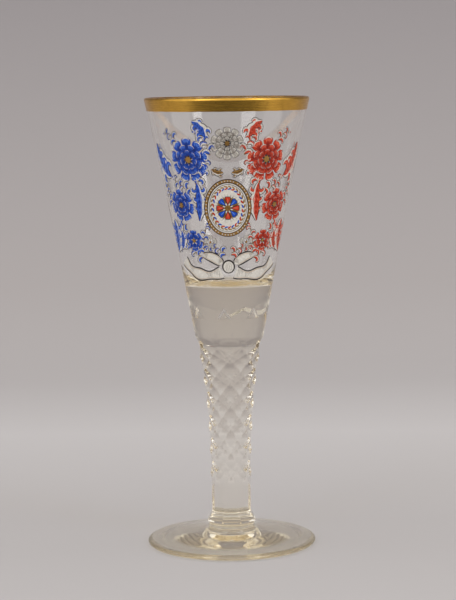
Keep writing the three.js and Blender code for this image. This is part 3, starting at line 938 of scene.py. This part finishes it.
def paint_ribbon(painting, motif, width_share, edge, folds):
    """A plain length of ribbon with bordered edges and grey shading at its folds."""
    heading, bend = motif["heading"], motif["bend"]
    steps, gold_inset, fold_lines, fold_turn = 30, 0.75, 5, 82
    path = brush_path((0, 0), heading, motif["length"], bend, steps)
    halves = [motif["width"] / 2 * width_share(i / steps) for i in range(steps + 1)]
    painting.edged_stroke(path, halves, FILL + 0.02, "white", edge)
    for turn in (-1, 1):
        border = beside(path, [turn * half * 0.94 for half in halves])
        painting.line(border, edge * 0.5)
        inset = beside(path, [turn * max(half - gold_inset, 0.1) for half in halves])
        painting.line(inset[1:-1], 0.09, LINE - 0.02, "gold")
    upper_side = beside(path, [half * 0.8 for half in halves])
    for fold in folds:
        for i in range(fold_lines):
            place = min(max(round(fold * steps) + i - fold_lines // 2, 1), steps - 1)
            direction = heading + bend * place / steps - fold_turn
            shade = brush_path(upper_side[place], direction, halves[place] * (1.5 - 0.2 * i), 14, 5)
            painting.line(shade, 0.12, SHADE, "grey")


def loop_width(share):
    end = 0.3
    return end + (1 - end) * math.sqrt(sin(pi * share ** 0.8))


def tail_width(share):
    twist = 0.18
    return 1 - twist + twist * cos(4 * pi * share)


def paint_knot(painting, motif, edge):
    """The ribbon's knot, with its folds drawn across it."""
    outline = oval(motif["half_width"], motif["half_height"], 32)
    painting.patch(outline, FILL + 0.06, "white")
    painting.line(outline, edge, LINE + 0.05, closed=True)
    for along in (-1.4, -0.5, 0.5, 1.4):
        fold = [(along + 0.15 * abs(i), 0.75 * i) for i in range(-3, 4)]
        painting.line(fold, 0.13, LINE, "grey")


def paint_ground(painting, motif, edge):
    """The medallion's white oval, with a drawn rim, a wreath of small leaves and grey shading."""
    half_width, half_height = motif["half_width"], motif["half_height"]
    rim_inset, leaf_length, leaf_turn = 0.7, 2.1, 38
    painting.patch(oval(half_width, half_height), FILL, "white")
    painting.line(oval(half_width - rim_inset, half_height - rim_inset), 0.12, closed=True)
    wreath = oval(half_width - 2.1, half_height - 2.3, WREATH_LEAVES)
    halves = swelling(0.42, 0.12, 0.92, 6)
    for i, place in enumerate(wreath):
        after = wreath[(i + 1) % WREATH_LEAVES]
        onward = math.degrees(math.atan2(after[1] - place[1], after[0] - place[0]))
        for turn, paint in ((-leaf_turn, "gold"), (leaf_turn, ("blue", "red")[i % 2])):
            leaf = brush_path(place, onward + turn, leaf_length, -turn * 0.8, 6)
            painting.edged_stroke(leaf, halves, FILL + 0.08, paint, edge / 4, LINE_FOOT)
    radius = ROSETTE["radius"]
    for i in range(WREATH_LEAVES):
        shading = ray(0.72 * radius, 1.17 * radius, tau * i / WREATH_LEAVES, 5)
        painting.line(shading, 0.10, SHADE, "grey")


def paint_frame(painting, motif, edge):
    """The medallion's gold frame between two drawn lines, with white beads on it."""
    half, gap, steps, beads = motif["frame"] / 2, 0.3, 96, 44
    path = oval(motif["half_width"] + half + gap, motif["half_height"] + half + gap, steps)
    painting.stroke(path, [half] * steps, FILL + 0.05, "gold", closed=True)
    for inset in (-half, half):
        painting.line(beside(path, [inset] * steps, closed=True), edge * 0.9, closed=True)
    for i in range(beads):
        painting.patch(disc(0.34, 10, path[round(i * steps / beads)]), LIGHT + 0.05, "white")


def paint_rosette(painting, motif, edge):
    """Petals of two colours by turns, with gold leaf tips between them and a gold heart."""
    count, radius = motif["petals"], motif["radius"]
    spread = pi / count
    for i in range(count):
        direction = pi / 2 + tau * i / count
        leaf_tip = ray(0.4 * radius, 0.98 * radius, direction + spread, 6)
        painting.stroke(leaf_tip, swelling(0.7, 0.15, 0.95, 6), FILL + 0.02, "gold", low=LINE_FOOT)
        outline = petal_outline(0.2 * radius, radius, direction, 0.92 * spread)
        fill, _, light = TONES[("red", "blue")[i % 2]]
        painting.patch(outline, FILL + 0.06, fill, LINE_FOOT)
        painting.line(outline, edge * 0.8, LINE + 0.04, closed=True)
        painting.line(ray(0.4 * radius, 0.8 * radius, direction, 5), 0.25, LIGHT + 0.05, light)
    painting.patch(disc(0.24 * radius, 20), LIGHT + 0.1, "gold", LINE_FOOT)


# Finishes

def feed(tree, node, inputs):
    """Sets inputs of a node, by name or number, to values or to the outputs of other nodes."""
    for socket, source in inputs.items():
        if isinstance(source, bpy.types.NodeSocket):
            tree.links.new(source, node.inputs[socket])
        else:
            node.inputs[socket].default_value = source


def add_node(tree, kind, inputs=None, **settings):
    node = tree.nodes.new(kind)
    for name, value in settings.items():
        setattr(node, name, value)
    feed(tree, node, inputs or {})
    return node


def mixed_shaders(tree, share, first, second):
    """The first shader where the share is 0, and the second where it is 1."""
    mix = add_node(tree, "ShaderNodeMixShader", {"Fac": share, 1: first, 2: second})
    return mix.outputs["Shader"]


def new_material(name):
    material = bpy.data.materials.new(name)
    material.use_nodes = True
    tree = material.node_tree
    return material, tree, tree.nodes["Principled BSDF"]


def brushwork_group():
    """Paint laid on with a brush: uneven shade, and the height of its strokes."""
    found = bpy.data.node_groups.get("Brushwork")
    if found:
        return found
    tree = bpy.data.node_groups.new("Brushwork", "ShaderNodeTree")
    size = tree.interface.new_socket("Stroke Size", in_out="INPUT", socket_type="NodeSocketFloat")
    size.default_value = 0.0008
    for output in ("Shade", "Height"):
        tree.interface.new_socket(output, in_out="OUTPUT", socket_type="NodeSocketFloat")
    times_finer, fine_share = 4, 0.35
    stroke_size = tree.nodes.new("NodeGroupInput").outputs["Stroke Size"]
    place = add_node(tree, "ShaderNodeTexCoord").outputs["Object"]
    scale = add_node(tree, "ShaderNodeMath", {0: 1, 1: stroke_size}, operation="DIVIDE").outputs[0]
    finer = add_node(
        tree, "ShaderNodeMath", {0: scale, 1: times_finer}, operation="MULTIPLY").outputs[0]
    broad = add_node(
        tree, "ShaderNodeTexNoise", {"Vector": place, "Scale": scale, "Detail": 3, "Distortion": 1.5})
    fine = add_node(tree, "ShaderNodeTexNoise", {"Vector": place, "Scale": finer, "Detail": 2})
    shade = add_node(
        tree, "ShaderNodeMapRange", {"Value": broad.outputs["Fac"], "From Min": 0.3, "From Max": 0.7})
    height = add_node(
        tree, "ShaderNodeMath", {0: fine.outputs["Fac"], 1: fine_share, 2: broad.outputs["Fac"]},
        operation="MULTIPLY_ADD")
    feed(tree, tree.nodes.new("NodeGroupOutput"), {
        "Shade": shade.outputs["Result"], "Height": height.outputs[0]})
    return tree


def lay_colour(tree, shader, full, thinning, stroke_size):
    """Lays a colour unevenly, paler by a factor where it is thin. Gives the brushwork's outputs."""
    thin = tuple(min(1.0, channel * thinning) for channel in full)
    brushwork = add_node(
        tree, "ShaderNodeGroup", {"Stroke Size": stroke_size}, node_tree=brushwork_group())
    shades = add_node(
        tree, "ShaderNodeMix", {"Factor": brushwork.outputs["Shade"], "A": (*full, 1), "B": (*thin, 1)},
        data_type="RGBA")
    feed(tree, shader, {"Base Color": shades.outputs["Result"]})
    return brushwork.outputs


def lay_surface(tree, shader, wear, roughness, height, relief, depth):
    """Roughness between two values, by the wear, and a slight relief of some depth."""
    gloss = add_node(
        tree, "ShaderNodeMapRange", {"Value": wear, "To Min": roughness[0], "To Max": roughness[1]})
    bump = add_node(tree, "ShaderNodeBump", {"Strength": relief, "Distance": depth, "Height": height})
    feed(tree, shader, {"Roughness": gloss.outputs["Result"], "Normal": bump.outputs["Normal"]})


def brushed(name, full, thinning, stroke_size, roughness, metallic=0.0):
    """A fired paint, laid on with a brush, and glossy where it is thick."""
    material, tree, shader = new_material(name)
    brushwork = lay_colour(tree, shader, full, thinning, stroke_size)
    lay_surface(
        tree, shader, brushwork["Shade"], roughness, brushwork["Height"], relief=0.25, depth=0.0001)
    feed(tree, shader, {"Metallic": metallic, "Specular IOR Level": 0.3})
    return material


def paint_material(name):
    """The finish of one paint, made once."""
    label = f"enamel_{name}"
    found = bpy.data.materials.get(label)
    if found:
        return found
    rgb = tuple(getattr(bpy.context.scene.goblet_enamel, name))
    if name == "gold":
        return brushed(
            label, rgb, thinning=1.35, stroke_size=0.0006, roughness=(0.28, 0.42), metallic=1.0)
    if name == "line":
        return brushed(label, rgb, thinning=2.2, stroke_size=0.0005, roughness=(0.25, 0.4))
    return brushed(label, rgb, thinning=1.3, stroke_size=0.0011, roughness=(0.14, 0.3))


def clear_glass(glass):
    """Clear glass with a warm tint in its thickness, a tone of its own on the foot, faint wiping
    marks on its polish, and matt bevels where the notches were ground."""
    material, tree, shader = new_material("clear_glass")
    place = add_node(tree, "ShaderNodeTexCoord").outputs["Object"]
    parts = add_node(tree, "ShaderNodeSeparateXYZ", {"Vector": place})
    tone_low, tone_high = FOOT_TONE_LEVELS
    over_foot = add_node(tree, "ShaderNodeMapRange", {
        "Value": parts.outputs["Z"], "From Min": tone_low, "From Max": tone_high})
    tone = add_node(
        tree, "ShaderNodeMix",
        {"Factor": over_foot.outputs["Result"], "A": (*glass.foot_tone, 1), "B": (1, 1, 1, 1)},
        data_type="RGBA")
    marks = add_node(tree, "ShaderNodeTexNoise", {"Vector": place, "Scale": 45, "Detail": 4})
    wiped = add_node(tree, "ShaderNodeMapRange", {
        "Value": marks.outputs["Fac"], "From Min": 0.5, "From Max": 0.8, "To Max": 0.02})
    ground = add_node(tree, "ShaderNodeAttribute", attribute_name="ground").outputs["Fac"]
    grain = add_node(
        tree, "ShaderNodeMath", {0: ground, 1: glass.notch_grain, 2: wiped.outputs["Result"]},
        operation="MULTIPLY_ADD")
    feed(tree, shader, {
        "Transmission Weight": 1, "IOR": 1.52,
        "Base Color": tone.outputs["Result"], "Roughness": grain.outputs[0]})
    # The broken skin of the bevels throws light back on all sides, and so looks white.
    feed(tree, shader, {
        "Coat Weight": ground, "Coat Roughness": glass.notch_haze, "Coat IOR": glass.notch_whiteness})
    absorption = add_node(tree, "ShaderNodeVolumeAbsorption", {
        "Color": (*glass.tint, 1), "Density": glass.tint_density})
    path = add_node(tree, "ShaderNodeLightPath")
    clear = add_node(tree, "ShaderNodeBsdfTransparent", {"Color": (*glass.shadow_tint, 1)})
    feed(tree, tree.nodes["Material Output"], {
        "Volume": absorption.outputs["Volume"],
        "Surface": mixed_shaders(
            tree, path.outputs["Is Shadow Ray"], shader.outputs["BSDF"], clear.outputs["BSDF"])})
    return material


def burnished_gold(gilding):
    """Fired gold, burnished round the rim, with fine lines along the band and thinner patches."""
    material, tree, shader = new_material("burnished_gold")
    lay_colour(tree, shader, gilding.gold, thinning=1.25, stroke_size=0.006)
    place = add_node(tree, "ShaderNodeTexCoord")
    stretch = add_node(tree, "ShaderNodeMapping", {
        "Vector": place.outputs["Object"], "Scale": (60, 60, 9000)})
    lines = add_node(tree, "ShaderNodeTexNoise", {
        "Vector": stretch.outputs["Vector"], "Scale": 1, "Detail": 3}).outputs["Fac"]
    lay_surface(tree, shader, lines, (0.15, 0.36), height=lines, relief=0.12, depth=0.00005)
    feed(tree, shader, {"Metallic": 1})
    return material


def painted_piece(context, name, slot, motif, side, paint_motif, *details):
    """One motif painted on the bowl, in place of the CAD node of its name where there is one."""
    painting = Painting(context.scene.goblet_glass, motif, side)
    paint_motif(painting, motif, *details)
    materials = [paint_material(paint) for paint in painting.used]
    replaced = [name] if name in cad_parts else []
    finished_piece(
        name + "_paint", painting.points, painting.faces, materials, replaced, painting.paints)


# Operators

class GOBLET_OT_glass(Operator):
    """Builds the foot, the button, the cut stem and the bowl as one body of glass"""
    bl_idname = "goblet.glass"
    bl_label = "Glass"

    def execute(self, context):
        glass = context.scene.goblet_glass
        rings = foot_rings(glass) + button_rings(glass) + stem_rings(glass) + bowl_rings(glass)
        points, faces = skin(rings)
        body = finished_piece(
            "glass_body", points, faces, [clear_glass(glass)], ["foot", "merese", "stem", "bowl"])
        outline = BowlOutline(glass)
        ground = body.data.attributes.new("ground", "FLOAT", "POINT")
        ground.data.foreach_set("value", [ground_share(glass, outline, point) for point in points])
        return {"FINISHED"}


class GOBLET_OT_gilding(Operator):
    """Builds the gilt band over the lip"""
    bl_idname = "goblet.gilding"
    bl_label = "Rim gilding"

    def execute(self, context):
        scene = context.scene
        points, faces = skin(gilding_rings(scene.goblet_glass, scene.goblet_gilding), closed=True)
        finished_piece(
            "gilt_band", points, faces, [burnished_gold(scene.goblet_gilding)], ["rim_gilding"],
            crease=50)
        return {"FINISHED"}


class GOBLET_OT_medallion(Operator):
    """Paints the oval medallion: its ground, its beaded gold frame and its rosette"""
    bl_idname = "goblet.medallion"
    bl_label = "Medallion"

    def execute(self, context):
        edge = context.scene.goblet_enamel.edge_width
        painted_piece(context, "medallion_ground", "white_enamel", MEDALLION, 1, paint_ground, edge)
        painted_piece(context, "medallion_frame", "gold", MEDALLION, 1, paint_frame, edge)
        painted_piece(context, "medallion_rosette", "red_enamel", ROSETTE, 1, paint_rosette, edge)
        return {"FINISHED"}


class GOBLET_OT_flowers(Operator):
    """Paints the white, blue and red flowers"""
    bl_idname = "goblet.flowers"
    bl_label = "Flowers"

    def execute(self, context):
        edge, bold_edge = context.scene.goblet_enamel.edge_width, context.scene.goblet_enamel.bold_width
        painted_piece(
            context, "white_flower_top", "white_enamel", TOP_FLOWER, 1, paint_flower, "white", bold_edge)
        for side_name, (side, paint) in SIDES.items():
            for place, motif in FLOWERS.items():
                name, slot = f"{paint}_flower_{place}", paint + "_enamel"
                painted_piece(context, name, slot, motif, side, paint_flower, paint, edge)
            name = f"white_flower_{side_name}"
            painted_piece(context, name, "white_enamel", SMALL_FLOWER, side, paint_flower, "white", edge)
        return {"FINISHED"}


class GOBLET_OT_leaves(Operator):
    """Paints the blue and red leaves and the gold scrolls"""
    bl_idname = "goblet.leaves"
    bl_label = "Leaves"

    def execute(self, context):
        edge = context.scene.goblet_enamel.edge_width
        for side_name, (side, paint) in SIDES.items():
            for place, motif in LEAVES.items():
                name, slot = f"{paint}_leaf_{place}", paint + "_enamel"
                painted_piece(context, name, slot, motif, side, paint_leaf, paint, edge)
            painted_piece(
                context, f"gold_scroll_{side_name}", "gold", SCROLL, side, paint_leaf, "gold", edge)
        return {"FINISHED"}


class GOBLET_OT_sprays(Operator):
    """Paints the sprays of curled foliage between the flowers"""
    bl_idname = "goblet.sprays"
    bl_label = "Sprays"

    def execute(self, context):
        edge = context.scene.goblet_enamel.edge_width
        for side_name, (side, paint) in SIDES.items():
            name, slot = f"sprays_{side_name}", paint + "_enamel"
            painted_piece(context, name, slot, SPRAYS, side, paint_sprays, paint, edge)
        return {"FINISHED"}


class GOBLET_OT_ribbon(Operator):
    """Paints the plain white ribbon and its knot"""
    bl_idname = "goblet.ribbon"
    bl_label = "Ribbon"

    def execute(self, context):
        edge = context.scene.goblet_enamel.bold_width
        for side_name, (side, _) in SIDES.items():
            for part, motif, width_share, folds in (
                    ("loop", RIBBON_LOOP, loop_width, (0.12, 0.85)),
                    ("tail", RIBBON_TAIL, tail_width, (0.08, 0.27, 0.74))):
                painted_piece(
                    context, f"ribbon_{part}_{side_name}", "white_enamel", motif, side,
                    paint_ribbon, width_share, edge, folds)
        painted_piece(context, "ribbon_knot", "white_enamel", KNOT, 1, paint_knot, edge)
        return {"FINISHED"}


def sweep_painted_falloff(studio):
    """The backdrop's colours along the sweep, from the floor upwards: painted light just over the floor, and
    painted shade darkening towards the top.
    """
    material, tree, shader = new_material("studio_sweep")
    reach = 1.6
    place = add_node(tree, "ShaderNodeTexCoord")
    parts = add_node(tree, "ShaderNodeSeparateXYZ", {"Vector": place.outputs["Object"]}).outputs
    total = add_node(tree, "ShaderNodeMath", {0: parts["Y"], 1: parts["Z"]}, operation="ADD")
    share = add_node(tree, "ShaderNodeMapRange", {"Value": total.outputs[0], "From Max": reach})
    ramp = add_node(tree, "ShaderNodeValToRGB", {"Fac": share.outputs["Result"]})
    stops = ramp.color_ramp.elements
    # The ramp's stops paint the falloff of light: the brightest just over the floor, then painted shade
    # deepening up the backdrop.
    stops[0].position, stops[0].color = 0.03, (*studio.floor_colour, 1)
    stops[1].position, stops[1].color = 0.95, (*studio.shaded_far_wall, 1)
    for position, rgb in ((0.20, studio.lit_near_wall), (0.52, studio.mid_wall)):
        stop = stops.new(position)
        stop.color = (*rgb, 1)
    feed(tree, shader, {"Base Color": ramp.outputs["Color"], "Roughness": 0.9, "Specular IOR Level": 0.1})
    # The sheet shows from the goblet's side only, so that it hides nothing from behind.
    side = add_node(tree, "ShaderNodeNewGeometry")
    clear = add_node(tree, "ShaderNodeBsdfTransparent")
    feed(tree, tree.nodes["Material Output"], {"Surface": mixed_shaders(
        tree, side.outputs["Backfacing"], shader.outputs["BSDF"], clear.outputs["BSDF"])})
    return material


def room_light(studio):
    """Soft light from above and behind, falling off towards the dark side low in front. To the
    camera the room shows as plain as the backdrop."""
    world = bpy.data.worlds.new("studio_room")
    world.use_nodes = True
    tree = world.node_tree
    bright_side = (0, 0.3, 0.954)
    fall_end, fall_start = -0.58, -0.30
    place = add_node(tree, "ShaderNodeTexCoord")
    nearness = add_node(
        tree, "ShaderNodeVectorMath", {0: place.outputs["Generated"], 1: bright_side},
        operation="DOT_PRODUCT")
    fall = add_node(
        tree, "ShaderNodeMapRange",
        {"Value": nearness.outputs["Value"], "From Min": fall_end, "From Max": fall_start,
         "To Min": studio.dark_light, "To Max": studio.room_light},
        interpolation_type="SMOOTHSTEP")
    light = tree.nodes["Background"]
    feed(tree, light, {"Color": (1, 0.985, 0.97, 1), "Strength": fall.outputs["Result"]})
    plain = add_node(tree, "ShaderNodeBackground", {"Color": (*studio.mid_wall, 1)})
    path = add_node(tree, "ShaderNodeLightPath")
    feed(tree, tree.nodes["World Output"], {"Surface": mixed_shaders(
        tree, path.outputs["Is Camera Ray"], light.outputs["Background"], plain.outputs["Background"])})
    return world


def add_softbox(name, azimuth, width, watts):
    """An upright softbox turned to the goblet, at an azimuth in degrees."""
    height, distance, elevation = 1.0, 1.2, math.radians(38)
    aim = Vector((0, 0, 0.15))
    light = bpy.data.lights.new(name, "AREA")
    light.shape = "RECTANGLE"
    light.size, light.size_y = width, height
    light.energy = watts
    out = Vector(at(cos(elevation), math.radians(azimuth), sin(elevation)))
    lamp = bpy.data.objects.new(name, light)
    lamp.location = aim + out * distance
    lamp.rotation_mode = "QUATERNION"
    lamp.rotation_quaternion = out.to_track_quat("Z", "Y")
    bpy.context.scene.collection.objects.link(lamp)


class GOBLET_OT_studio(Operator):
    """Sets the floor and its backdrop, the soft light and the camera"""
    bl_idname = "goblet.studio"
    bl_label = "Studio"

    def execute(self, context):
        scene, studio = context.scene, context.scene.goblet_studio
        front, flat, bend, top, half_width = -0.32, 0.55, 0.5, 3.0, 6.0
        floor = -0.00025
        profile = [(front, floor), (0.0, floor), (flat, floor)]
        profile += arc_points((flat, floor + bend), bend, bend, -pi / 2, 0, 12)
        profile.append((flat + bend, top))
        points = [(x, y, z) for x in (-half_width, half_width) for y, z in profile]
        count = len(profile)
        faces = [(i, count + i, count + i + 1, i + 1) for i in range(count - 1)]
        mesh = bpy.data.meshes.new("studio_sweep")
        mesh.from_pydata(points, [], faces)
        mesh.polygons.foreach_set("use_smooth", [True] * len(faces))
        mesh.materials.append(sweep_painted_falloff(studio))
        sweep = bpy.data.objects.new("studio_sweep", mesh)
        scene.collection.objects.link(sweep)

        scene.world = room_light(studio)
        add_softbox("softbox_left", -36, 0.46, studio.panel_light)
        add_softbox("softbox_right", 50, 0.30, studio.panel_light)

        camera = bpy.data.cameras.new("camera")
        camera.lens = studio.lens
        camera.sensor_width = 36
        camera.clip_start = 0.05
        eye = bpy.data.objects.new("camera", camera)
        eye.matrix_world = (
            Matrix.Translation((0, -studio.camera_distance, studio.camera_height))
            @ Matrix.Rotation(studio.camera_yaw, 4, "Z")
            @ Matrix.Rotation(pi / 2 - studio.camera_pitch, 4, "X")
            @ Matrix.Rotation(studio.camera_roll, 4, "Z"))
        scene.collection.objects.link(eye)
        scene.camera = eye
        scene.view_settings.view_transform = "Standard"
        scene.cycles.max_bounces = LIGHT_BOUNCES
        scene.cycles.glossy_bounces = LIGHT_BOUNCES
        scene.cycles.transmission_bounces = LIGHT_BOUNCES
        return {"FINISHED"}


class GOBLET_PT_panel(Panel):
    """Lists what builds the goblet, in order"""
    bl_idname = "GOBLET_PT_panel"
    bl_label = "Goblet"
    bl_space_type = "VIEW_3D"
    bl_region_type = "UI"
    bl_category = "Goblet"

    def draw(self, context):
        for operator in OPERATORS:
            self.layout.operator(operator.bl_idname)


SETTINGS = {
    "goblet_glass": GlassSettings,
    "goblet_gilding": GildingSettings,
    "goblet_enamel": EnamelSettings,
    "goblet_studio": StudioSettings,
}
OPERATORS = (
    GOBLET_OT_glass,
    GOBLET_OT_gilding,
    GOBLET_OT_medallion,
    GOBLET_OT_flowers,
    GOBLET_OT_leaves,
    GOBLET_OT_sprays,
    GOBLET_OT_ribbon,
    GOBLET_OT_studio,
)
CLASSES = (*SETTINGS.values(), *OPERATORS, GOBLET_PT_panel)


def register():
    for one in CLASSES:
        bpy.utils.register_class(one)
    for name, settings in SETTINGS.items():
        setattr(bpy.types.Scene, name, PointerProperty(type=settings))


def unregister():
    for name in SETTINGS:
        delattr(bpy.types.Scene, name)
    for one in reversed(CLASSES):
        bpy.utils.unregister_class(one)


def main():
    register()
    for operator in OPERATORS:
        group, action = operator.bl_idname.split(".")
        getattr(getattr(bpy.ops, group), action)()


if __name__ == "__main__":
    main()
